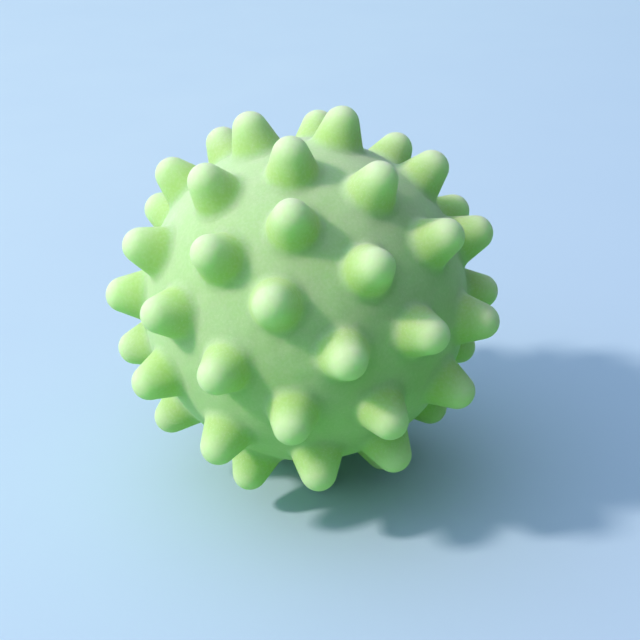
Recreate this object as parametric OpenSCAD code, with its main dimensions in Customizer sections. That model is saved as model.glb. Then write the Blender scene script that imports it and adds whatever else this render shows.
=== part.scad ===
// Sensory ball: a hollow, soft ball with blunt spikes, moulded in two halves, with an air valve.
// Millimetres, +Z up. The origin is on the floor under the ball's centre, and the ball stands on
// three spikes. The front half looks towards -Y and up, and the valve is at the rear half's pole.

/* [Ball] */
// Diameter of the round body, without its spikes
body_d = 74; // [66:0.5:90]
// Thickness of the moulded wall
wall = 3; // [2.6:0.1:4]

/* [Spikes] */
// How far a spike stands above the round body
spike_h = 8.6; // [7:0.1:11]
// Radius of a spike's round tip
tip_r = 4; // [3.2:0.1:4.2]
// Radius of the hollow curve where a spike meets the body
foot_r = 2; // [1:0.1:2.2]
// Angle of a spike's side to its axis
side_angle = 19; // [12:0.5:20]
// Lean of the three spikes that the ball stands on, from straight down
stand_lean = 15; // [13:0.5:17]

/* [Seam] */
// Angle from straight up to the front half's pole
seam_lean = 64; // [55:1:75]
// Height of the tongue that enters the front half
tongue_h = 2.5; // [1.5:0.1:4]
// Thickness of the tongue at the seam
tongue_t = 1.4; // [1:0.1:1.6]
// Thickness of the adhesive round the tongue
glue_t = 0.3; // [0.2:0.05:0.4]

/* [Valve seat] */
// Diameter of the neck that fills the hole in the wall
neck_d = 12; // [11:0.5:14]
// Diameter of the flange bonded inside the wall
flange_d = 17; // [16:0.5:20]
// Thickness of that flange on its axis
flange_t = 2.4; // [2:0.1:3]
// Diameter of the tube that holds the valve core
tube_d = 8; // [7:0.1:9]
// Length of that tube, from the flange inwards
tube_l = 5; // [4.5:0.1:7]
// Diameter of the air bore that the plug closes
bore_d = 4.4; // [3.6:0.1:4.8]

/* [Plug] */
// Diameter of the plug's head
head_d = 8.8; // [8:0.1:9.6]
// Depth of the head below the ball's surface
head_t = 1.8; // [1.4:0.1:2]
// Length of the stem under the head
stem_l = 4.2; // [3:0.1:4.5]
// Height of the finger tab above the ball's surface
tab_h = 2; // [1.5:0.1:3]
// Width of the finger tab
tab_w = 5; // [4:0.1:6]
// Thickness of the finger tab
tab_t = 1.4; // [1:0.1:2]

/* [Valve core] */
// Diameter of the core's round body
core_d = 5.8; // [5.4:0.1:6]
// Length of the core's round body
core_l = 3.2; // [2.5:0.1:3.6]
// Length of the flattened bill behind it
bill_l = 4; // [3:0.1:6]
// Thickness of the bill where it starts
bill_root_t = 3.6; // [3:0.1:4]
// Thickness of the bill at its closed lips
bill_lip_t = 0.8; // [0.6:0.1:1]
// Width of the bill
bill_w = 3.4; // [3:0.1:4]
// Diameter of the air passage in the core
air_d = 1.6; // [1.2:0.1:2]

/* [Hidden] */

// Bond line between bonded pieces
bond = 0.05;
// Running gap round the plug, on each side
plug_gap = 0.2;
// How far a cut runs past what it cuts
overrun = 1;
// Angle at which round faces cross where they blend, so that none is merely tangent
blend_angle = 6;
// Quarter and half turns, and the share of a length that is its middle
quarter_turn = 90;
half_turn = 180;
mid_share = 0.5;

SKIN = "#a8d98c";
VALVE = "#c9e8b4";
GLUE = "#dfeedd";

body_r = body_d / 2;
inner_r = body_r - wall;
tip_rise = body_r + spike_h - tip_r;
reach = body_r + spike_h + overrun;
// Spikes are rooted this deep in the wall, from the ball's centre
root_r = body_r - wall * mid_share;
tongue_r = inner_r + tongue_t;
socket_r = tongue_r + glue_t;

// The ball's centre stands over the three lowest tips
centre_z = tip_rise * cos(stand_lean) + tip_r;

// Where each spike stands: its angle from straight up, and its bearing from +X towards +Y.
// They are staggered by eye, about one spike's foot apart, as on a hand-laid-out mould.
CROWN_ANGLES = [[13, 32], [18, 161], [18, 256], [32, 314], [36, 211], [37, 83]];
UPPER_ANGLES = [[41, 264], [44, 12], [43, 133], [46, 45], [49, 164], [55, 235], [56, 329], [57, 294], [60, 98]];
SHOULDER_ANGLES = [[64, 197], [66, 260], [69, 152], [67, 1], [69, 26], [69, 66], [75, 123], [77, 221]];
BELT_ANGLES = [[80, 309], [82, 282], [85, 187], [86, 93], [87, 338], [89, 244], [89, 47], [91, 8], [90, 144]];
WAIST_ANGLES = [[102, 69], [103, 213], [103, 266], [104, 120], [105, 296], [107, 181], [106, 326]];
LOWER_ANGLES = [[114, 43], [114, 13], [116, 151], [119, 239], [126, 305], [129, 195], [129, 275], [134, 0]];
UNDER_ANGLES = [[136, 120], [139, 73], [139, 38], [141, 163], [145, 238], [151, 335]];
// Bearings of the three spikes that the ball stands on
STAND_BEARINGS = [43, 163, 283];
STAND = [for (bearing = STAND_BEARINGS) [half_turn - stand_lean, bearing]];
SITES = concat(
    CROWN_ANGLES, UPPER_ANGLES, SHOULDER_ANGLES, BELT_ANGLES,
    WAIST_ANGLES, LOWER_ANGLES, UNDER_ANGLES, STAND
);

// A spike's outline in its own half plane: x from its axis, y from the ball's centre.
// The side is a line at side_l from the centre, and the foot's hollow curve rolls on it and the body.
side_l = tip_rise * sin(side_angle) + tip_r * cos(blend_angle);
foot_l = side_l + foot_r * cos(blend_angle);
foot_rise = sqrt(body_r * body_r + foot_r * foot_r + 2 * body_r * foot_r * cos(blend_angle));
foot_turn = side_angle + acos(foot_l / foot_rise);
foot_spread = quarter_turn - foot_turn;
square_side = [cos(side_angle), sin(side_angle)];
foot_dir = [cos(foot_turn), sin(foot_turn)];
foot_mid = foot_rise * foot_dir;

// Directions of a spike and of the front half's pole, and the spikes that reach into each half
function toward(site) = [sin(site[0]) * cos(site[1]), sin(site[0]) * sin(site[1]), cos(site[0])];
front_pole = [0, -sin(seam_lean), cos(seam_lean)];
FRONT_SITES = [for (s = SITES) if (toward(s) * front_pole > -sin(foot_spread)) s];
REAR_SITES = [for (s = SITES) if (toward(s) * front_pole < sin(foot_spread)) s];

// Heights on the valve's axis, from the ball's centre outwards
head_floor = body_r - head_t;
stem_end = head_floor - stem_l;
flange_top = inner_r;
flange_floor = flange_top - flange_t;
tube_end = flange_floor - tube_l;
stem_r = bore_d / 2 - plug_gap;
recess_r = head_d / 2 + plug_gap;
core_floor = tube_end + bond;
core_top = core_floor + core_l;

module at_centre() {
    translate([0, 0, centre_z]) children();
}

// The seam lies in this frame's plane z = 0, and the front half above it
module seam_frame() {
    rotate([seam_lean, 0, 0]) children();
}

// The valve's axis is this frame's +z, from the ball's centre out through the rear pole
module valve_frame() {
    seam_frame() rotate([half_turn, 0, 0]) children();
}

module spike_outline() {
    difference() {
        union() {
            polygon([
                [0, tip_rise],
                [0, tip_rise] + tip_r * cos(blend_angle) * square_side,
                foot_mid - foot_r * cos(blend_angle) * square_side,
                foot_mid,
                root_r * foot_dir,
                [0, root_r]
            ]);
            intersection() {
                translate([0, tip_rise]) circle(r = tip_r, $fn = 64);
                translate([0, tip_rise - tip_r]) square([tip_r + overrun, 2 * tip_r + overrun]);
            }
        }
        translate(foot_mid) circle(r = foot_r, $fn = 48);
    }
}

module spike(site) {
    rotate([0, site[0], site[1]]) rotate_extrude($fn = 40) spike_outline();
}

// The outside of the ball, with the spikes at the given sites
module skin(sites) {
    sphere(d = body_d, $fn = 120);
    for (s = sites) spike(s);
}

module front_shell() {
    color(SKIN) at_centre() difference() {
        intersection() {
            union() skin(FRONT_SITES);
            seam_frame() cylinder(r = reach, h = reach, $fn = 90);
        }
        sphere(r = inner_r, $fn = 120);
        seam_frame() translate([0, 0, -overrun])
            cylinder(r = socket_r, h = tongue_h + glue_t + overrun, $fn = 120);
    }
}

module rear_shell() {
    color(SKIN) at_centre() difference() {
        union() {
            intersection() {
                union() skin(REAR_SITES);
                seam_frame() translate([0, 0, -reach]) cylinder(r = reach, h = reach, $fn = 90);
            }
            seam_frame() translate([0, 0, -tongue_h])
                cylinder(r = tongue_r, h = 2 * tongue_h, $fn = 120);
        }
        sphere(r = inner_r, $fn = 120);
        valve_frame() cylinder(d = neck_d + 2 * bond, h = reach, $fn = 64);
    }
}

// The cured ring between the tongue and its socket
module seam_adhesive() {
    color(GLUE) at_centre() seam_frame() translate([0, 0, bond]) difference() {
        cylinder(r = socket_r - bond, h = tongue_h - bond, $fn = 120);
        translate([0, 0, -overrun])
            cylinder(r = tongue_r + bond, h = tongue_h + 2 * overrun, $fn = 120);
    }
}

module valve_seat() {
    color(VALVE) at_centre() valve_frame() difference() {
        union() {
            intersection() {
                translate([0, 0, flange_floor])
                    cylinder(d = neck_d, h = reach - flange_floor, $fn = 64);
                sphere(r = body_r, $fn = 120);
            }
            intersection() {
                translate([0, 0, flange_floor]) cylinder(d = flange_d, h = flange_t, $fn = 64);
                sphere(r = inner_r - bond, $fn = 120);
            }
            translate([0, 0, tube_end]) cylinder(d = tube_d, h = flange_t + tube_l, $fn = 48);
        }
        translate([0, 0, tube_end - overrun]) cylinder(d = bore_d, h = reach, $fn = 40);
        translate([0, 0, head_floor]) cylinder(r = recess_r, h = reach, $fn = 64);
        translate([0, 0, tube_end - overrun])
            cylinder(d = core_d + 2 * bond, h = core_l + 2 * bond + overrun, $fn = 48);
    }
}

// A round body with a flattened bill, whose closed lips let air in and not out
module valve_core() {
    color(GLUE) at_centre() valve_frame() difference() {
        union() {
            translate([0, 0, core_floor]) cylinder(d = core_d, h = core_l, $fn = 48);
            rotate([90, 0, 0]) linear_extrude(height = bill_w, center = true) polygon([
                [-bill_root_t / 2, core_floor + core_l * mid_share],
                [bill_root_t / 2, core_floor + core_l * mid_share],
                [bill_root_t / 2, core_floor],
                [bill_lip_t / 2, core_floor - bill_l],
                [-bill_lip_t / 2, core_floor - bill_l],
                [-bill_root_t / 2, core_floor]
            ]);
        }
        translate([0, 0, core_floor - bill_l * mid_share]) cylinder(d = air_d, h = reach, $fn = 32);
    }
}

// A stopper whose head lies flush in the seat, with a tab to pull it out by
module valve_plug() {
    color(VALVE) at_centre() valve_frame() union() {
        intersection() {
            translate([0, 0, head_floor]) cylinder(d = head_d, h = reach, $fn = 64);
            sphere(r = body_r, $fn = 120);
        }
        translate([0, 0, stem_end + stem_r])
            cylinder(r = stem_r, h = stem_l - stem_r + head_t * mid_share, $fn = 40);
        translate([0, 0, stem_end + stem_r]) sphere(r = stem_r, $fn = 40);
        rotate([90, 0, 0]) linear_extrude(height = tab_t, center = true) union() {
            translate([0, body_r + tab_h - tab_w / 2]) circle(d = tab_w, $fn = 48);
            translate([-tab_w / 2, head_floor + head_t * mid_share])
                square([tab_w, head_t * mid_share + tab_h - tab_w / 2]);
        }
    }
}

front_shell();
rear_shell();
seam_adhesive();
valve_seat();
valve_core();
valve_plug();
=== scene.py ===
"""A sensory ball: a hollow ball of soft silicone with blunt spikes, moulded in two halves, and an air valve.

Metres, +Z up. The ball stands on the floor, z = 0, on three of its spikes.
"""

import bmesh
import bpy
import numpy as np
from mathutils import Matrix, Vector


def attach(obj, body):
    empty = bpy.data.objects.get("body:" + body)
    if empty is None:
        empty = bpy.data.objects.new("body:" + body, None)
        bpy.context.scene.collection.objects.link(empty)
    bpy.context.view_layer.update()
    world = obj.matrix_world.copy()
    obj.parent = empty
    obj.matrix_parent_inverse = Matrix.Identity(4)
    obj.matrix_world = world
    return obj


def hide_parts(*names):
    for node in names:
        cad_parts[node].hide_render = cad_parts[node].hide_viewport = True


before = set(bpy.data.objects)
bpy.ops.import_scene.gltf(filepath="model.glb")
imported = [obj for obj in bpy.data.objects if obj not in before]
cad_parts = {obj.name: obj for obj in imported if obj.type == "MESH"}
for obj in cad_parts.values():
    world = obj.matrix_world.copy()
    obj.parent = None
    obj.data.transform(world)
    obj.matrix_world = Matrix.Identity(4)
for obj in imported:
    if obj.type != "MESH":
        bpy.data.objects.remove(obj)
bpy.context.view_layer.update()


# The front half of the skin: the half that faces the viewer of the photo. It is compression moulded
# in silicone with its spikes on it, is 3 mm thick, and has a socket round its edge for the rear half.
MM = 0.001
BODY_R = 37 * MM
INNER_R = 34 * MM
TIP_R = 4 * MM
TIP_RISE = 41.6 * MM
FOOT_R = 2 * MM
SIDE_ANGLE = np.radians(19)
STAND_LEAN = np.radians(15)
SEAM_LEAN = np.radians(64)
CENTRE = np.array([0.0, 0.0, TIP_RISE * np.cos(STAND_LEAN) + TIP_R])

# Each spike's angle from straight up, and its bearing from +X towards +Y, in degrees
SPIKE_SITES = [
    (13, 32), (18, 161), (18, 256), (32, 314), (36, 211), (37, 83),
    (41, 264), (44, 12), (43, 133), (46, 45), (49, 164), (55, 235), (56, 329), (57, 294), (60, 98),
    (64, 197), (66, 260), (69, 152), (67, 1), (69, 26), (69, 66), (75, 123), (77, 221),
    (80, 309), (82, 282), (85, 187), (86, 93), (87, 338), (89, 244), (89, 47), (91, 8), (90, 144),
    (102, 69), (103, 213), (103, 266), (104, 120), (105, 296), (107, 181), (106, 326),
    (114, 43), (114, 13), (116, 151), (119, 239), (126, 305), (129, 195), (129, 275), (134, 0),
    (136, 120), (139, 73), (139, 38), (141, 163), (145, 238), (151, 335),
    (165, 43), (165, 163), (165, 283),
]  # fmt: skip
polar, bearing = np.radians(np.array(SPIKE_SITES, float)).T
SPIKE_AXES = np.stack([np.sin(polar) * np.cos(bearing), np.sin(polar) * np.sin(bearing), np.cos(polar)], -1)

# The front half's own frame, whose third row points out of its pole, at right angles to the seam
FRONT_FRAME = np.array([
    [1, 0, 0],
    [0, np.cos(SEAM_LEAN), np.sin(SEAM_LEAN)],
    [0, -np.sin(SEAM_LEAN), np.cos(SEAM_LEAN)],
])  # fmt: skip

# The socket's radius and depth, and how far the solid that cuts off the other half reaches
SOCKET_R = 35.7 * MM
SOCKET_H = 2.8 * MM
BEYOND = 60 * MM

SKIN_STEPS = 150
TURNED_STEPS = 240
TIP_STEPS = 60
FOOT_STEPS = 40
INSIDE_STEPS = 60


def arc(centre, radius, start, end, steps):
    """Points on a circle in a half plane, at equal turns from start to end.

    Each is the centre plus the radius times the turn's cosine and sine.
    """
    turn = np.linspace(start, end, steps)[:, None]
    return np.array(centre) + radius * np.hstack([np.cos(turn), np.sin(turn)])


def spike_outline():
    """A spike's side as points (distance from its axis, height above the ball's centre), from tip to foot.

    The round tip turns until its slope is the side's, the side is straight, and the foot is a hollow
    arc whose centre lies its own radius outside both the side's line and the round body.
    """
    side_gap = TIP_RISE * np.sin(SIDE_ANGLE) + TIP_R + FOOT_R
    foot_rise = BODY_R + FOOT_R
    foot_turn = SIDE_ANGLE + np.arccos(side_gap / foot_rise)
    foot_mid = foot_rise * np.array([np.cos(foot_turn), np.sin(foot_turn)])
    tip = arc((0, TIP_RISE), TIP_R, np.pi / 2, SIDE_ANGLE, TIP_STEPS)
    foot = arc(foot_mid, FOOT_R, np.pi + SIDE_ANGLE, np.pi + foot_turn, FOOT_STEPS)
    return np.vstack([tip, foot]), np.pi / 2 - foot_turn


OUTLINE, FOOT_SPREAD = spike_outline()
OUTLINE_LENGTHS = np.append(0, np.cumsum(np.linalg.norm(np.diff(OUTLINE, axis=0), axis=1)))


def ball_directions(steps):
    """Directions all over a ball, and the square faces between them.

    Each side of a cube is a grid of two angles from -45 to 45 degrees. Their tangents are two of a
    point's coordinates, the third is 1, and the point is then brought to length 1. Points that two
    sides share are made one.
    """
    tangent = np.tan(np.linspace(-np.pi / 4, np.pi / 4, steps + 1))
    a, b = np.meshgrid(tangent, tangent, indexing="ij")
    one = np.ones_like(a)
    sides = ((one, a, b), (-one, b, a), (b, one, a), (a, -one, b), (a, b, one), (b, a, -one))
    points = np.array([np.stack(side, -1) for side in sides]).reshape(-1, 3)
    points /= np.linalg.norm(points, axis=1, keepdims=True)
    index = np.arange(len(points)).reshape(len(sides), steps + 1, steps + 1)
    corners = (index[:, :-1, :-1], index[:, 1:, :-1], index[:, 1:, 1:], index[:, :-1, 1:])
    faces = np.stack(corners, -1).reshape(-1, 4)
    _, first, same = np.unique(np.round(points, 6), axis=0, return_index=True, return_inverse=True)
    return points[first], same.ravel()[faces]


# The mould's slight unevenness, as shares of the distance from the ball's centre. Each column of
# waves is one sine wave's direction, and the column's length is how many times the wave rises and
# falls on the way round the ball.
SLOW_SHARE = 0.0012
SLOW_WAVES = np.array([[7.0, -3.0, 2.0], [2.0, 8.0, -4.0], [3.0, 1.0, 9.0]])
FINE_SHARE = 0.0014
FINE_WAVES = np.array([[48.0, 9.0, -24.0], [-20.0, 45.0, 17.0], [11.0, -31.0, 47.0]])


def skin_surface(directions):
    """The skin's outside: where each direction's ray leaves the ball, or a point on the nearest spike.

    Inside a spike's foot, the angle to the spike's axis, as a share of the foot's, is the share of the
    outline's length at which the point lies. The mean of three slow sine waves of the direction, and
    of three fine ones about 5 mm long, then draws each point in a little.
    """
    cosines = directions @ SPIKE_AXES.T
    axis = SPIKE_AXES[cosines.argmax(1)]
    cosine = np.clip(cosines.max(1), -1, 1)[:, None]
    share = np.arccos(cosine[:, 0]) / FOOT_SPREAD
    along = np.clip(share, 0, 1) * OUTLINE_LENGTHS[-1]
    sideways = directions - axis * cosine
    sideways /= np.maximum(np.linalg.norm(sideways, axis=1, keepdims=True), 1e-9)
    out = np.interp(along, OUTLINE_LENGTHS, OUTLINE[:, 0])[:, None]
    up = np.interp(along, OUTLINE_LENGTHS, OUTLINE[:, 1])[:, None]
    points = np.where(share[:, None] < 1, sideways * out + axis * up, directions * BODY_R)
    slow = np.sin(directions @ SLOW_WAVES).mean(1)
    fine = np.sin(directions @ FINE_WAVES).mean(1)
    unevenness = SLOW_SHARE * (1 + slow) + FINE_SHARE * (1 + fine)
    return points * (1 - unevenness[:, None])


def solid(name, points, faces):
    """A mesh object at the origin, whose points are in metres."""
    mesh = bpy.data.meshes.new(name)
    mesh.from_pydata(points.tolist(), [], faces)
    made = bpy.data.objects.new(name, mesh)
    bpy.context.scene.collection.objects.link(made)
    return made


def turned(name, outline, own_frame, steps, ring=False):
    """A solid turned about the third row of own_frame, through the ball's centre.

    Each outline point (distance from the axis, height along it) goes round in equal steps, as the
    cosine and sine of the turn times its distance. A ring's outline is closed, and any other begins
    and ends on the axis, where its points become one pole. The outline's area says which way it
    runs, and it is reversed where its faces would point inwards.
    """
    following = np.roll(outline, -1, 0)
    if np.sum(outline[:, 0] * following[:, 1] - following[:, 0] * outline[:, 1]) > 0:
        outline = outline[::-1]
    rows = len(outline)
    turn = np.arange(steps) * 2 * np.pi / steps
    round_part = np.outer(np.cos(turn), own_frame[0]) + np.outer(np.sin(turn), own_frame[1])
    points = outline[:, 0, None, None] * round_part + outline[:, 1, None, None] * own_frame[2]
    index = np.arange(rows * steps).reshape(rows, steps)
    if not ring:
        index[0], index[-1] = index[0, 0], index[-1, 0]
    below, above = (index, np.roll(index, -1, 0)) if ring else (index[:-1], index[1:])
    faces = np.stack([below, above, np.roll(above, -1, 1), np.roll(below, -1, 1)], -1).reshape(-1, 4)
    faces = [list(dict.fromkeys(face)) for face in faces.tolist()]
    used, packed = np.unique([i for face in faces for i in face], return_inverse=True)
    ends = np.cumsum([len(face) for face in faces])
    faces = [part.tolist() for part in np.split(packed.ravel(), ends[:-1])]
    return solid(name, CENTRE + points.reshape(-1, 3)[used], faces)


CLOSE_POINTS = 0.005 * MM


def combined(piece, other, operation):
    """The piece joined with, or cut by, the other solid, which is then removed. Both are closed.

    Where the two surfaces nearly touch, the cut leaves points a few microns apart, which are made
    one. Faces with more than four sides are made triangles, so that the result is closed too.
    """
    modifier = piece.modifiers.new(operation.title(), "BOOLEAN")
    modifier.operation = operation
    modifier.object = other
    modifier.solver = "MANIFOLD"
    bpy.context.view_layer.update()
    result = bpy.data.meshes.new_from_object(piece.evaluated_get(bpy.context.evaluated_depsgraph_get()))
    piece.modifiers.clear()
    piece.data = result
    result.name = piece.name
    result.materials.clear()
    shape = bmesh.new()
    shape.from_mesh(result)
    bmesh.ops.remove_doubles(shape, verts=shape.verts[:], dist=CLOSE_POINTS)
    many_sided = [face for face in shape.faces if len(face.verts) > 4]
    bmesh.ops.triangulate(shape, faces=many_sided, ngon_method="BEAUTY")
    shape.to_mesh(result)
    shape.free()
    bpy.data.objects.remove(other)


def smooth(piece, crease):
    """Shaded smooth, apart from edges sharper than the crease angle in degrees."""
    piece.data.shade_smooth()
    piece.data.set_sharp_from_angle(angle=np.radians(crease))


SKIN_CREASE = 40

directions, skin_faces = ball_directions(SKIN_STEPS)
skin_points = CENTRE + skin_surface(directions)

front_skin = solid("front_skin", skin_points, skin_faces.tolist())
front_inside = np.vstack([
    arc((0, 0), INNER_R, np.pi / 2, np.arcsin(SOCKET_H / INNER_R), INSIDE_STEPS),
    [(SOCKET_R, SOCKET_H), (SOCKET_R, 0), (BEYOND, 0), (BEYOND, -BEYOND), (0, -BEYOND)],
])  # fmt: skip
combined(front_skin, turned("front_inside", front_inside, FRONT_FRAME, TURNED_STEPS), "DIFFERENCE")
smooth(front_skin, SKIN_CREASE)
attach(front_skin, "ball")
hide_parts("front_shell")


def srgb(code):
    """The linear colour of an sRGB hex value, by the standard curve."""
    level = np.array([int(code[i : i + 2], 16) for i in (1, 3, 5)]) / 255
    level = np.where(level <= 0.04045, level / 12.92, ((level + 0.055) / 1.055) ** 2.4)
    return (*level.tolist(), 1.0)


def add(owner, kind, inputs=(), **settings):
    """Adds one node, whose inputs are plain values or (node, output) pairs to link from.

    An input goes by its name, or by its number where names repeat. A Map Range node takes its value
    at 0, the range that it comes from at 1 and 2, and the range that it goes to at 3 and 4. A Mix
    node takes its two colours at 6 and 7, and gives the mixed one at output 2.
    """
    made = owner.node_tree.nodes.new(kind)
    for name, value in settings.items():
        setattr(made, name, value)
    for name, value in dict(inputs).items():
        if isinstance(value, tuple) and isinstance(value[0], bpy.types.Node):
            owner.node_tree.links.new(value[0].outputs[value[1]], made.inputs[name])
        else:
            made.inputs[name].default_value = value
    return made


def new_material(name):
    """A material with no nodes yet."""
    made = bpy.data.materials.new(name)
    made.use_nodes = True
    made.node_tree.nodes.clear()
    return made


# Moulded silicone from a blasted mould: soft and matte, with light passing some way into it, so that
# shaded sides glow green, and a thin dusty bloom that makes it paler in patches. On the spikes, light
# and shade are painted into the colour: a more saturated green low on their sides is painted shade,
# and it pales towards their tips as painted light. Grain and dust are drawn a few times as coarse as
# they are, to show at all.
SKIN_BODY = "#b0d797"
# Painted shade low on each spike's sides, and painted light paling its tip
SKIN_SIDE_PAINTED_SHADE = "#aed580"
SKIN_TIP_PAINTED_LIGHT = "#cbe6b2"
SKIN_BLOOM = "#e6f3dc"
SIDE_START = 2 * MM
MOTTLE_SIZE = 14 * MM
MOTTLE_FROM, MOTTLE_TO, MOTTLE_BLOOM = 0.35, 0.7, 0.10
SPECK_SIZE = 0.7 * MM
SPECK_FROM, SPECK_TO, SPECK_BLOOM = 0.4, 0.75, 0.13
DUST_SIZE = 0.6 * MM
DUST_CORE, DUST_EDGE = 0.12, 0.28
DUSTY_FROM, DUSTY_TO, DUST_BLOOM = 0.46, 0.6, 0.16
GRAIN_SIZE, GRAIN_DEPTH, GRAIN_STRENGTH = 0.5 * MM, 0.05 * MM, 0.6
SEAM_HALF_WIDTH, SEAM_DEPTH = 0.25 * MM, 0.01 * MM
SEAM_CLEAR_FROM, SEAM_CLEAR_TO = 0.3 * MM, 3.5 * MM

# With this turn and move, a Mapping node gives a point's place in the front half's own frame
SEAM_TURN = (-SEAM_LEAN, 0, 0)
SEAM_MOVE = (0, -CENTRE[2] * np.sin(SEAM_LEAN), -CENTRE[2] * np.cos(SEAM_LEAN))

silicone = new_material("moulded_silicone")
place = add(silicone, "ShaderNodeTexCoord")
seam_place = add(
    silicone,
    "ShaderNodeMapping",
    {"Vector": (place, "Object"), "Rotation": SEAM_TURN, "Location": SEAM_MOVE},
)
rise = add(silicone, "ShaderNodeVectorMath", {0: (seam_place, 0)}, operation="LENGTH")
# By distance from the centre: painted shade low on a spike's sides, then painted light up to its tip
painted_shade_share = add(
    silicone,
    "ShaderNodeMapRange",
    {0: (rise, "Value"), 1: BODY_R, 2: BODY_R + SIDE_START},
    interpolation_type="SMOOTHSTEP",
)
painted_light_share = add(
    silicone,
    "ShaderNodeMapRange",
    {0: (rise, "Value"), 1: BODY_R + SIDE_START, 2: TIP_RISE + TIP_R},
    interpolation_type="SMOOTHSTEP",
)
painted_side_shade = add(
    silicone,
    "ShaderNodeMix",
    {"Factor": (painted_shade_share, 0), 6: srgb(SKIN_BODY), 7: srgb(SKIN_SIDE_PAINTED_SHADE)},
    data_type="RGBA",
)
shade = add(
    silicone,
    "ShaderNodeMix",
    {"Factor": (painted_light_share, 0), 6: (painted_side_shade, 2), 7: srgb(SKIN_TIP_PAINTED_LIGHT)},
    data_type="RGBA",
)
mottle = add(
    silicone,
    "ShaderNodeTexNoise",
    {"Vector": (place, "Object"), "Scale": 1 / MOTTLE_SIZE, "Detail": 3.0},
)
mottle_share = add(
    silicone,
    "ShaderNodeMapRange",
    {0: (mottle, 0), 1: MOTTLE_FROM, 2: MOTTLE_TO, 3: 0.0, 4: MOTTLE_BLOOM},
)
speck = add(
    silicone,
    "ShaderNodeTexNoise",
    {"Vector": (place, "Object"), "Scale": 1 / SPECK_SIZE, "Detail": 2.0},
)
speck_share = add(
    silicone,
    "ShaderNodeMapRange",
    {0: (speck, 0), 1: SPECK_FROM, 2: SPECK_TO, 3: 0.0, 4: SPECK_BLOOM},
)
dust = add(silicone, "ShaderNodeTexVoronoi", {"Vector": (place, "Object"), "Scale": 1 / DUST_SIZE})
dust_dot = add(silicone, "ShaderNodeMapRange", {0: (dust, 0), 1: DUST_CORE, 2: DUST_EDGE, 3: 1.0, 4: 0.0})
dust_patch = add(
    silicone,
    "ShaderNodeMapRange",
    {0: (mottle, 0), 1: DUSTY_FROM, 2: DUSTY_TO, 3: 0.0, 4: DUST_BLOOM},
)
dust_share = add(silicone, "ShaderNodeMath", {0: (dust_dot, 0), 1: (dust_patch, 0)}, operation="MULTIPLY")
patchy = add(silicone, "ShaderNodeMath", {0: (mottle_share, 0), 1: (speck_share, 0)}, operation="ADD")
bloom_share = add(silicone, "ShaderNodeMath", {0: (patchy, 0), 1: (dust_share, 0)}, operation="ADD")
bloomed = add(
    silicone,
    "ShaderNodeMix",
    {"Factor": (bloom_share, 0), 6: (shade, 2), 7: srgb(SKIN_BLOOM)},
    data_type="RGBA",
)
grain = add(
    silicone,
    "ShaderNodeTexNoise",
    {"Vector": (place, "Object"), "Scale": 1 / GRAIN_SIZE, "Detail": 1.5},
)
grain_bump = add(
    silicone,
    "ShaderNodeBump",
    {"Height": (grain, 0), "Distance": GRAIN_DEPTH, "Strength": GRAIN_STRENGTH},
)

# The seam is a hair-thin groove, near which less light passes into the skin, since the edges of the
# two halves would otherwise show as dark lines.
seam_height = add(silicone, "ShaderNodeSeparateXYZ", {0: (seam_place, 0)})
seam_gap = add(silicone, "ShaderNodeMath", {0: (seam_height, 2)}, operation="ABSOLUTE")
seam_groove = add(
    silicone,
    "ShaderNodeMapRange",
    {0: (seam_gap, 0), 1: 0.0, 2: SEAM_HALF_WIDTH},
    interpolation_type="SMOOTHSTEP",
)
seam_bump = add(
    silicone,
    "ShaderNodeBump",
    {"Height": (seam_groove, 0), "Distance": SEAM_DEPTH, "Normal": (grain_bump, 0)},
)
seam_fade = add(
    silicone,
    "ShaderNodeMapRange",
    {0: (seam_gap, 0), 1: SEAM_CLEAR_FROM, 2: SEAM_CLEAR_TO},
    interpolation_type="SMOOTHSTEP",
)
silicone_shader = add(
    silicone,
    "ShaderNodeBsdfPrincipled",
    {
        "Base Color": (bloomed, 2),
        "Normal": (seam_bump, 0),
        "Subsurface Weight": (seam_fade, 0),
        "Subsurface Radius": (0.62, 1.0, 0.5),
        "Subsurface Scale": 6.0 * MM,
        "Roughness": 0.58,
        "IOR": 1.41,
        "Specular IOR Level": 0.15,
        "Sheen Weight": 0.1,
        "Sheen Roughness": 0.5,
    },
)
add(silicone, "ShaderNodeOutputMaterial", {"Surface": (silicone_shader, 0)})
front_skin.data.materials.append(silicone)


# The rear half of the skin, of the same silicone. A tongue round its edge enters the front half's
# socket, and a round hole at its pole holds the valve seat.
TONGUE_R = 35.4 * MM
TONGUE_H = 2.5 * MM
HOLE_R = 6.05 * MM
HOLE_EASE_RISE = 36.2 * MM
HOLE_EASE = 2 * MM
REAR_INSIDE_STEPS = 80

# The rear half's own frame, whose third row points out of its pole, along the valve
VALVE_FRAME = FRONT_FRAME * np.array([[1], [-1], [-1]])

rear_skin = solid("rear_skin", skin_points, skin_faces.tolist())
hole_turn = np.arccos(HOLE_R / INNER_R)
rear_inside = np.vstack([
    [(0, -BEYOND), (BEYOND, -BEYOND), (BEYOND, 0), (TONGUE_R, 0), (TONGUE_R, -TONGUE_H)],
    arc((0, 0), INNER_R, -np.arcsin(TONGUE_H / INNER_R), hole_turn, REAR_INSIDE_STEPS),
    [(HOLE_R, HOLE_EASE_RISE), (HOLE_R + HOLE_EASE, HOLE_EASE_RISE + HOLE_EASE)],
    [(0, HOLE_EASE_RISE + HOLE_EASE)],
])  # fmt: skip
combined(rear_skin, turned("rear_inside", rear_inside, VALVE_FRAME, TURNED_STEPS), "DIFFERENCE")
smooth(rear_skin, SKIN_CREASE)
rear_skin.data.materials.append(silicone)
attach(rear_skin, "ball")
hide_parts("rear_shell")


# The ring of silicone adhesive that bonds the tongue in its socket. It was squeezed in as a bead and
# has cured clear, so it is glossy and lets light through, with a few fine bubbles.
BEAD_BUBBLE = "#f2f8ee"
BEAD_CLEAR = "#dfeedd"
BUBBLE_SIZE, BUBBLE_DEPTH = 0.8 * MM, 0.05 * MM
BUBBLE_CORE, BUBBLE_EDGE = 0.1, 0.3

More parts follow.
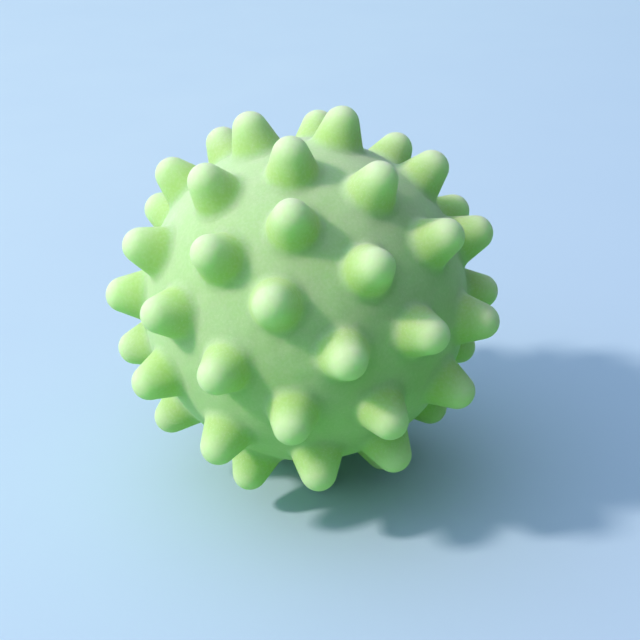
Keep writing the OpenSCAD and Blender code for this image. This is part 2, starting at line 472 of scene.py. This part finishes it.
adhesive = new_material("cured_silicone_adhesive")
bead_place = add(adhesive, "ShaderNodeTexCoord")
bubbles = add(adhesive, "ShaderNodeTexVoronoi", {"Vector": (bead_place, "Object"), "Scale": 1 / BUBBLE_SIZE})
bubble_rim = add(adhesive, "ShaderNodeMapRange", {0: (bubbles, 0), 1: BUBBLE_CORE, 2: BUBBLE_EDGE})
bead_shade = add(
    adhesive,
    "ShaderNodeMix",
    {"Factor": (bubble_rim, 0), 6: srgb(BEAD_BUBBLE), 7: srgb(BEAD_CLEAR)},
    data_type="RGBA",
)
bead_bump = add(adhesive, "ShaderNodeBump", {"Height": (bubble_rim, 0), "Distance": BUBBLE_DEPTH})
adhesive_shader = add(
    adhesive,
    "ShaderNodeBsdfPrincipled",
    {
        "Base Color": (bead_shade, 2),
        "Normal": (bead_bump, 0),
        "Roughness": 0.22,
        "IOR": 1.41,
        "Transmission Weight": 0.5,
    },
)
add(adhesive, "ShaderNodeOutputMaterial", {"Surface": (adhesive_shader, 0)})
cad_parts["seam_adhesive"].data.materials.clear()
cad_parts["seam_adhesive"].data.materials.append(adhesive)


# The valve seat: a firmer silicone grommet that fills the hole, bonded by its flange inside the
# wall, with a recess for the plug's head and a tube for the core.
BORE_R = 2.2 * MM
CORE_SEAT_R = 2.95 * MM
TUBE_R = 4.0 * MM
FLANGE_R = 8.5 * MM
NECK_R = 6.0 * MM
RECESS_R = 4.6 * MM
TUBE_END = 26.6 * MM
CORE_STOP = 29.9 * MM
FLANGE_FLOOR = 31.6 * MM
HEAD_FLOOR = 35.2 * MM
BOND_GAP = 0.05 * MM

# How far each corner of the seat is eased, in the order in which seat_corners gives them
SEAT_EASES = np.array([0.15, 0.3, 0.4, 0.3, 0.2, 0.1, 0.22, 0.25, 0.2, 0.2, 0.1, 0.1]) * MM
EASE_STEPS = 6
VALVE_STEPS = 96
SEAT_CREASE = 50


def eased(corners, ease):
    """A closed outline with each corner rounded: a curve from ease before it to ease after it.

    The curve is the corner's quadratic blend: the squares of 1-t and t weigh its two ends, and twice
    their product weighs the corner.
    """
    corners = np.array(corners, float)
    ease = np.broadcast_to(np.array(ease, float), len(corners))[:, None]
    before, after = np.roll(corners, 1, 0) - corners, np.roll(corners, -1, 0) - corners
    start = corners + before / np.linalg.norm(before, axis=1, keepdims=True) * ease
    end = corners + after / np.linalg.norm(after, axis=1, keepdims=True) * ease
    t = np.linspace(0, 1, EASE_STEPS)[:, None, None]
    curve = (1 - t) ** 2 * start + 2 * t * (1 - t) * corners + t**2 * end
    return curve.transpose(1, 0, 2).reshape(-1, 2)


def on_sphere(radius, distance):
    """The height at which a sphere about the ball's centre stands at that distance from the axis.

    It is the square root of the radius squared less the distance squared.
    """
    return np.sqrt(radius**2 - distance**2)


seat_corners = [
    (CORE_SEAT_R, TUBE_END), (TUBE_R, TUBE_END), (TUBE_R, FLANGE_FLOOR), (FLANGE_R, FLANGE_FLOOR),
    (FLANGE_R, on_sphere(INNER_R - BOND_GAP, FLANGE_R)), (NECK_R, on_sphere(INNER_R - BOND_GAP, NECK_R)),
    (NECK_R, on_sphere(BODY_R, NECK_R)), (RECESS_R, on_sphere(BODY_R, RECESS_R)),
    (RECESS_R, HEAD_FLOOR), (BORE_R, HEAD_FLOOR), (BORE_R, CORE_STOP), (CORE_SEAT_R, CORE_STOP),
]  # fmt: skip
seat_outline = eased(seat_corners, SEAT_EASES)
valve_seat_moulded = turned("valve_seat_moulded", seat_outline, VALVE_FRAME, VALVE_STEPS, ring=True)
smooth(valve_seat_moulded, SEAT_CREASE)
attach(valve_seat_moulded, "ball")
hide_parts("valve_seat")

# Firm moulded silicone: satin, paler than the skin, with the fine rings that a turned mould leaves.
# The rings are drawn some six times as coarse as they are, to show at all.
FIRM_DEEP = "#b9dea0"
FIRM_PALE = "#cdeab9"
RING_SPACING, RING_DEPTH, RING_WANDER = 2.2 * MM, 0.012 * MM, 0.4
FIRM_GRAIN_SIZE, FIRM_GRAIN_DEPTH = 0.4 * MM, 0.02 * MM
FIRM_MOTTLE_SIZE = 5 * MM

# A Wave node's wave turns through this many radians in each unit of its own scale
WAVE_RADIANS = 20

firm = new_material("firm_moulded_silicone")
firm_place = add(firm, "ShaderNodeTexCoord")
valve_place = add(
    firm,
    "ShaderNodeMapping",
    {"Vector": (firm_place, "Object"), "Rotation": SEAM_TURN, "Location": SEAM_MOVE},
)
rings = add(
    firm,
    "ShaderNodeTexWave",
    {
        "Vector": (valve_place, 0),
        "Scale": 2 * np.pi / WAVE_RADIANS / RING_SPACING,
        "Distortion": RING_WANDER,
    },
    wave_type="RINGS",
    rings_direction="Z",
)
ring_bump = add(firm, "ShaderNodeBump", {"Height": (rings, "Fac"), "Distance": RING_DEPTH})
firm_grain = add(
    firm,
    "ShaderNodeTexNoise",
    {"Vector": (firm_place, "Object"), "Scale": 1 / FIRM_GRAIN_SIZE, "Detail": 2.0},
)
firm_bump = add(
    firm,
    "ShaderNodeBump",
    {"Height": (firm_grain, 0), "Distance": FIRM_GRAIN_DEPTH, "Normal": (ring_bump, 0)},
)
firm_mottle = add(
    firm,
    "ShaderNodeTexNoise",
    {"Vector": (firm_place, "Object"), "Scale": 1 / FIRM_MOTTLE_SIZE, "Detail": 2.0},
)
firm_shade = add(
    firm,
    "ShaderNodeMix",
    {"Factor": (firm_mottle, 0), 6: srgb(FIRM_DEEP), 7: srgb(FIRM_PALE)},
    data_type="RGBA",
)
firm_shader = add(
    firm,
    "ShaderNodeBsdfPrincipled",
    {
        "Base Color": (firm_shade, 2),
        "Normal": (firm_bump, 0),
        "Roughness": 0.42,
        "IOR": 1.41,
        "Subsurface Weight": 0.8,
        "Subsurface Radius": (0.7, 1.0, 0.5),
        "Subsurface Scale": 0.8 * MM,
    },
)
add(firm, "ShaderNodeOutputMaterial", {"Surface": (firm_shader, 0)})
valve_seat_moulded.data.materials.append(firm)


# The valve core: a small moulded one-way valve pressed into the seat's tube, whose flat lips close
# by themselves. It is of unpigmented silicone, cloudy white and a little see-through.
CORE_DEEP = "#d5e8d2"
CORE_PALE = "#ecf5e8"
CLOUD_SIZE, CORE_BUMP_DEPTH = 1.5 * MM, 0.02 * MM

clear = new_material("unpigmented_silicone")
core_place = add(clear, "ShaderNodeTexCoord")
core_cloud = add(
    clear,
    "ShaderNodeTexNoise",
    {"Vector": (core_place, "Object"), "Scale": 1 / CLOUD_SIZE, "Detail": 3.0},
)
core_shade = add(
    clear,
    "ShaderNodeMix",
    {"Factor": (core_cloud, 0), 6: srgb(CORE_DEEP), 7: srgb(CORE_PALE)},
    data_type="RGBA",
)
core_bump = add(clear, "ShaderNodeBump", {"Height": (core_cloud, 0), "Distance": CORE_BUMP_DEPTH})
clear_shader = add(
    clear,
    "ShaderNodeBsdfPrincipled",
    {
        "Base Color": (core_shade, 2),
        "Normal": (core_bump, 0),
        "Roughness": 0.35,
        "IOR": 1.41,
        "Subsurface Weight": 0.9,
        "Subsurface Scale": 1.0 * MM,
    },
)
add(clear, "ShaderNodeOutputMaterial", {"Surface": (clear_shader, 0)})
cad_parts["valve_core"].data.materials.clear()
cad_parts["valve_core"].data.materials.append(clear)


# The valve plug: a stopper in the same firm silicone as the seat. Its head lies flush in the seat's
# recess, its stem fills the bore, and a tab stands up to pull it out by.
HEAD_R = 4.4 * MM
STEM_R = 2.0 * MM
STEM_END = 31.0 * MM

# How far each corner is eased, and how far from it the middle of the ease lies. The head's dome
# starts a small turn past its rim.
STEM_EASE, STEM_EASE_MID = 0.25 * MM, 0.07 * MM
HEAD_EASE, HEAD_EASE_MID = 0.2 * MM, 0.06 * MM
RIM_EASE, RIM_EASE_MID = 0.25 * MM, 0.08 * MM
DOME_START_TURN = 0.007
STEM_STEPS = 16
DOME_STEPS = 20

dome_rim = on_sphere(BODY_R, HEAD_R)
dome_start = np.arccos(HEAD_R / BODY_R) + DOME_START_TURN
plug_outline = np.vstack([
    arc((0, STEM_END + STEM_R), STEM_R, -np.pi / 2, 0, STEM_STEPS),
    [(STEM_R, HEAD_FLOOR - STEM_EASE), (STEM_R + STEM_EASE_MID, HEAD_FLOOR - STEM_EASE_MID)],
    [(STEM_R + STEM_EASE, HEAD_FLOOR), (HEAD_R - HEAD_EASE, HEAD_FLOOR)],
    [(HEAD_R - HEAD_EASE_MID, HEAD_FLOOR + HEAD_EASE_MID), (HEAD_R, HEAD_FLOOR + HEAD_EASE)],
    [(HEAD_R, dome_rim - RIM_EASE), (HEAD_R - RIM_EASE_MID, dome_rim - RIM_EASE_MID)],
    arc((0, 0), BODY_R, dome_start, np.pi / 2, DOME_STEPS),
])  # fmt: skip


TAB_HALF_W = 2.5 * MM
TAB_HALF_T = 0.7 * MM
TAB_TOP = 39.0 * MM
TAB_FOOT = HEAD_FLOOR + 0.6 * MM
TAB_SPREAD, TAB_SPREAD_RISE = 0.3 * MM, 0.2 * MM
TAB_ROWS, TAB_COLUMNS = 48, 64
PLUG_CREASE = 35

# The tab's rim draws in to just short of a point, so that its top is a small flat face
TAB_TOP_SHARE = 0.995


def tab(rows, columns):
    """The finger tab as a closed surface of two parameters: a height, and a turn round the tab.

    Each level is a rounded oblong: the square roots of the turn's cosine and sine, with their signs,
    times its half width and half thickness. The half width falls as a circle's does towards a round
    top, the half thickness draws in late with the sixth power of the same share, and both spread
    where the tab meets the head, by an exponential of the height above it.
    """
    rise_share = np.sin(np.linspace(0, np.pi / 2, rows))
    height = TAB_FOOT + (TAB_TOP - TAB_FOOT) * rise_share
    over = np.clip((height - (TAB_TOP - TAB_HALF_W)) / TAB_HALF_W, 0, TAB_TOP_SHARE)
    spread = TAB_SPREAD * np.exp(-np.maximum(height - BODY_R, 0) / TAB_SPREAD_RISE)
    half_w = TAB_HALF_W * np.sqrt(1 - over**2) + spread
    half_t = TAB_HALF_T * np.sqrt(1 - over**6) + spread
    turn = np.arange(columns) * 2 * np.pi / columns
    wide, thick = (np.sign(f) * np.sqrt(np.abs(f)) for f in (np.cos(turn), np.sin(turn)))
    points = (
        np.outer(half_w, wide)[..., None] * VALVE_FRAME[0]
        + np.outer(half_t, thick)[..., None] * VALVE_FRAME[1]
        + height[:, None, None] * VALVE_FRAME[2]
    )
    index = np.arange(rows * columns).reshape(rows, columns)
    below, above = index[:-1], index[1:]
    faces = np.stack([below, np.roll(below, -1, 1), np.roll(above, -1, 1), above], -1).reshape(-1, 4)
    caps = [index[0, ::-1].tolist(), index[-1].tolist()]
    return solid("finger_tab", CENTRE + points.reshape(-1, 3), faces.tolist() + caps)


valve_plug_moulded = turned("valve_plug_moulded", plug_outline, VALVE_FRAME, VALVE_STEPS)
combined(valve_plug_moulded, tab(TAB_ROWS, TAB_COLUMNS), "UNION")
smooth(valve_plug_moulded, PLUG_CREASE)
valve_plug_moulded.data.materials.append(firm)
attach(valve_plug_moulded, "plug")
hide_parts("valve_plug")


# The floor that the ball stands on: a wide, plain, pale blue sheet of matte paper, painted paler
# towards the left and the back as painted light, standing for the light falling off across the floor,
# with a fine fibre drawn coarser than it is, to show at all.
FLOOR_HALF = 3.0
FLOOR_STEPS = 25
# Painted light: the paper goes from the dimmer colour to the paler one along this way
PAPER_PAINTED_DIM = "#b5d0e4"
PAPER_PAINTED_LIT = "#c0dce8"
PAPER_CLOUD = "#b1cfe2"
PAINTED_LIGHT_WAY = (-0.84, 0.54, 0.0)
PAINTED_LIGHT_FROM, PAINTED_LIGHT_TO = -135 * MM, 190 * MM
CLOUDY_SIZE = 40 * MM
CLOUDY_FROM, CLOUDY_TO, CLOUDY_SHARE = 0.3, 0.7, 0.12
FIBRE_SIZE, FIBRE_DEPTH = 1.2 * MM, 0.02 * MM

across = np.linspace(-FLOOR_HALF, FLOOR_HALF, FLOOR_STEPS)
floor_x, floor_y = np.meshgrid(across, across, indexing="ij")
floor_points = np.stack([floor_x, floor_y, np.zeros_like(floor_x)], -1).reshape(-1, 3)
floor_index = np.arange(floor_x.size).reshape(floor_x.shape)
floor_corners = (floor_index[:-1, :-1], floor_index[1:, :-1], floor_index[1:, 1:], floor_index[:-1, 1:])
floor_faces = np.stack(floor_corners, -1).reshape(-1, 4)
floor = solid("floor", floor_points, floor_faces.tolist())

paper = new_material("pale_blue_paper")
paper_place = add(paper, "ShaderNodeTexCoord")
# Painted light: the paper pales towards the left and the back
along_paper = add(
    paper,
    "ShaderNodeVectorMath",
    {0: (paper_place, "Object"), 1: PAINTED_LIGHT_WAY},
    operation="DOT_PRODUCT",
)
floor_painted_light_share = add(paper, "ShaderNodeMapRange", {0: (along_paper, "Value"), 1: PAINTED_LIGHT_FROM, 2: PAINTED_LIGHT_TO})
paper_painted_light = add(
    paper,
    "ShaderNodeMix",
    {"Factor": (floor_painted_light_share, 0), 6: srgb(PAPER_PAINTED_DIM), 7: srgb(PAPER_PAINTED_LIT)},
    data_type="RGBA",
)
paper_cloud = add(
    paper,
    "ShaderNodeTexNoise",
    {"Vector": (paper_place, "Object"), "Scale": 1 / CLOUDY_SIZE, "Detail": 2.0},
)
cloud_share = add(
    paper,
    "ShaderNodeMapRange",
    {0: (paper_cloud, 0), 1: CLOUDY_FROM, 2: CLOUDY_TO, 3: 0.0, 4: CLOUDY_SHARE},
)
paper_shade = add(
    paper,
    "ShaderNodeMix",
    {"Factor": (cloud_share, 0), 6: (paper_painted_light, 2), 7: srgb(PAPER_CLOUD)},
    data_type="RGBA",
)
fibre = add(
    paper,
    "ShaderNodeTexNoise",
    {"Vector": (paper_place, "Object"), "Scale": 1 / FIBRE_SIZE, "Detail": 4.0},
)
paper_bump = add(paper, "ShaderNodeBump", {"Height": (fibre, 0), "Distance": FIBRE_DEPTH})

# The light that the paper throws back on the ball has a greener colour of its own, since the paper's
# blue would leave the shaded silicone greyer than it is.
THROWN_BACK = "#89c781"


def seen(owner):
    """The node that gives 1 to what the camera sees, also in gloss and through clear pieces, and else 0."""
    ray = add(owner, "ShaderNodeLightPath")
    plain_or_glossy = add(
        owner,
        "ShaderNodeMath",
        {0: (ray, "Is Camera Ray"), 1: (ray, "Is Glossy Ray")},
        operation="MAXIMUM",
    )
    return add(
        owner,
        "ShaderNodeMath",
        {0: (plain_or_glossy, 0), 1: (ray, "Is Transmission Ray")},
        operation="MAXIMUM",
    )


paper_colour = add(
    paper,
    "ShaderNodeMix",
    {"Factor": (seen(paper), 0), 6: srgb(THROWN_BACK), 7: (paper_shade, 2)},
    data_type="RGBA",
)
paper_shader = add(
    paper,
    "ShaderNodeBsdfPrincipled",
    {
        "Base Color": (paper_colour, 2),
        "Normal": (paper_bump, 0),
        "Roughness": 0.8,
        "Specular IOR Level": 0.2,
    },
)
add(paper, "ShaderNodeOutputMaterial", {"Surface": (paper_shader, 0)})
floor.data.materials.append(paper)


# One softbox to the left of the viewer, high up, at the bearing and height that the shadow on the
# floor gives. It is far off, so that it lights the whole floor evenly. Its level is the brightness
# of a white sheet that faces it: its power over pi squared and the square of its distance.
LAMP_BEARING, LAMP_HEIGHT = np.radians(194.6), np.radians(40.8)
LAMP_DISTANCE, LAMP_SIDE = 3.0, 0.28
LAMP_LEVEL = 0.77
LAMP_COLOUR = (1.0, 0.85, 0.79)


def pointing(bearing, height):
    """The direction at that bearing from +X towards +Y, and that height above the floor.

    It is the cosine of the height times the bearing's cosine and sine, and the sine of the height.
    """
    return (np.cos(bearing) * np.cos(height), np.sin(bearing) * np.cos(height), np.sin(height))


toward_lamp = np.array(pointing(LAMP_BEARING, LAMP_HEIGHT))
lamp = bpy.data.lights.new("softbox", "AREA")
lamp.shape = "SQUARE"
lamp.size = LAMP_SIDE
lamp.energy = LAMP_LEVEL * np.pi**2 * LAMP_DISTANCE**2
lamp.color = LAMP_COLOUR
softbox = bpy.data.objects.new("softbox", lamp)
softbox.location = Vector(CENTRE + toward_lamp * LAMP_DISTANCE)
softbox.rotation_euler = Vector(toward_lamp).to_track_quat("Z", "Y").to_euler()
bpy.context.scene.collection.objects.link(softbox)


# A pale room, whose light comes from a wide window on the same side and fades to none on the other.
# What is seen of the room itself, also in gloss and through clear pieces, is a plain pale blue.
WINDOW_BEARING, WINDOW_HEIGHT = np.radians(182), np.radians(55)
WINDOW_LOW, WINDOW_HIGH = 0.0, 1.95
WINDOW_FAR, WINDOW_NEAR = (0.44, 0.53, 0.64, 1.0), (0.47, 0.54, 0.715, 1.0)
BACKDROP = "#bfdcf2"

room = bpy.data.worlds.new("pale_room")
bpy.context.scene.world = room
room.use_nodes = True
room.node_tree.nodes.clear()
sky_place = add(room, "ShaderNodeTexCoord")
toward_window = add(
    room,
    "ShaderNodeVectorMath",
    {0: (sky_place, "Generated"), 1: pointing(WINDOW_BEARING, WINDOW_HEIGHT)},
    operation="DOT_PRODUCT",
)
window_level = add(
    room,
    "ShaderNodeMapRange",
    {0: (toward_window, "Value"), 3: WINDOW_LOW, 4: WINDOW_HIGH},
    interpolation_type="SMOOTHSTEP",
)
room_shade = add(
    room,
    "ShaderNodeMix",
    {"Factor": (toward_window, "Value"), 6: WINDOW_FAR, 7: WINDOW_NEAR},
    data_type="RGBA",
)
ambient = add(room, "ShaderNodeBackground", {"Color": (room_shade, 2), "Strength": (window_level, 0)})
backdrop = add(room, "ShaderNodeBackground", {"Color": srgb(BACKDROP), "Strength": 1.0})
mixed = add(room, "ShaderNodeMixShader", {0: (seen(room), 0), 1: (ambient, 0), 2: (backdrop, 0)})
add(room, "ShaderNodeOutputWorld", {"Surface": (mixed, 0)})
bpy.context.scene.view_settings.view_transform = "Standard"


# The camera, where the photo was taken from: 0.3 m from the ball and 26 degrees above it. Its lens
# and shift put the ball's centre at the pixel where the photo has it, at the photo's size.
PHOTO_PIXELS = 640
BALL_PIXEL = (305.5, 299)
FOCAL_PIXELS = 1305
CAMERA_DISTANCE, CAMERA_HEIGHT = 0.3, np.radians(26)

view_from = np.array([0, -np.cos(CAMERA_HEIGHT), np.sin(CAMERA_HEIGHT)])
camera = bpy.data.objects.new("photo_camera", bpy.data.cameras.new("photo_camera"))
camera.data.lens = camera.data.sensor_width * FOCAL_PIXELS / PHOTO_PIXELS
camera.data.shift_x = 0.5 - BALL_PIXEL[0] / PHOTO_PIXELS
camera.data.shift_y = BALL_PIXEL[1] / PHOTO_PIXELS - 0.5
camera.data.clip_start = 0.01
camera.location = Vector(CENTRE + view_from * CAMERA_DISTANCE)
camera.rotation_euler = Vector(view_from).to_track_quat("Z", "Y").to_euler()
bpy.context.scene.collection.objects.link(camera)
bpy.context.scene.camera = camera
